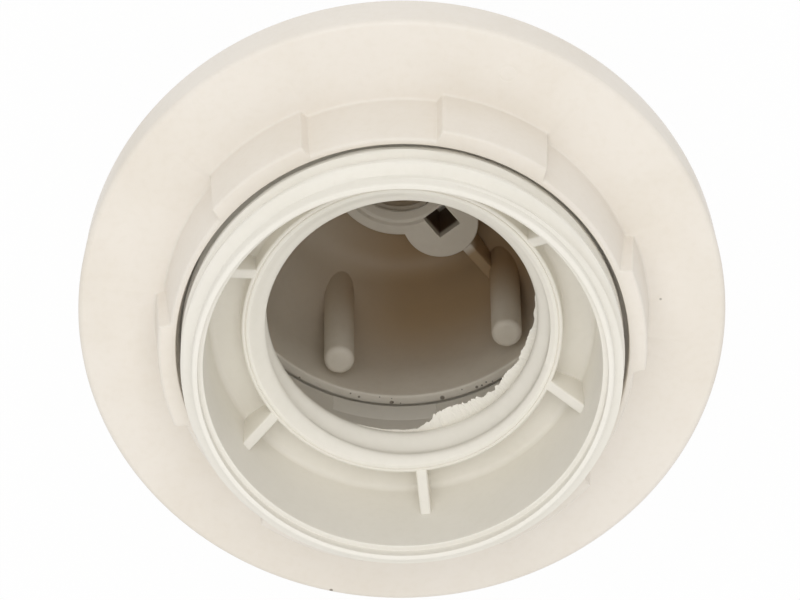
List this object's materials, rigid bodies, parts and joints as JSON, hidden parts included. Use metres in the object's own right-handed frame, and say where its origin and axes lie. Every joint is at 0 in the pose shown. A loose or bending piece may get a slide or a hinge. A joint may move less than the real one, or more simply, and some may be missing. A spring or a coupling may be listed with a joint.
{
  "type": "lamp holder",
  "caption": "Moulded lamp holder body with a threaded skirt, a screwed shade ring with grips and a bell cap with a nipple entry; the contact chamber is empty.",
  "frame": {"origin": "centre of the neck's end face, on which the holder stands with its lamp end up", "axes": "+Z along the lamp axis, from the nipple neck to the open lamp end; +X lies to the right in the picture"},
  "size_m": [0.0576, 0.0576, 0.054],
  "materials": {
    "cap_plastic": "fine satin moulding, warm cream white",
    "skirt_plastic": "satin moulding, slightly cooler white",
    "ring_plastic": "fine satin moulding, warm cream white"
  },
  "bodies": {
    "cap": {"cap": "cap_plastic"},
    "skirt": {"threaded_skirt": "skirt_plastic"},
    "ring": {"shade_ring": "ring_plastic"}
  },
  "joints": [
    {"name": "skirt_travel", "type": "slide", "parent": "cap", "child": "skirt", "axis": [0, 0, 1], "range_m": [0, 0.0075]},
    {"name": "ring_travel", "type": "slide", "parent": "skirt", "child": "ring", "axis": [0, 0, 1], "range_m": [-0.005, 0.015]}
  ]
}
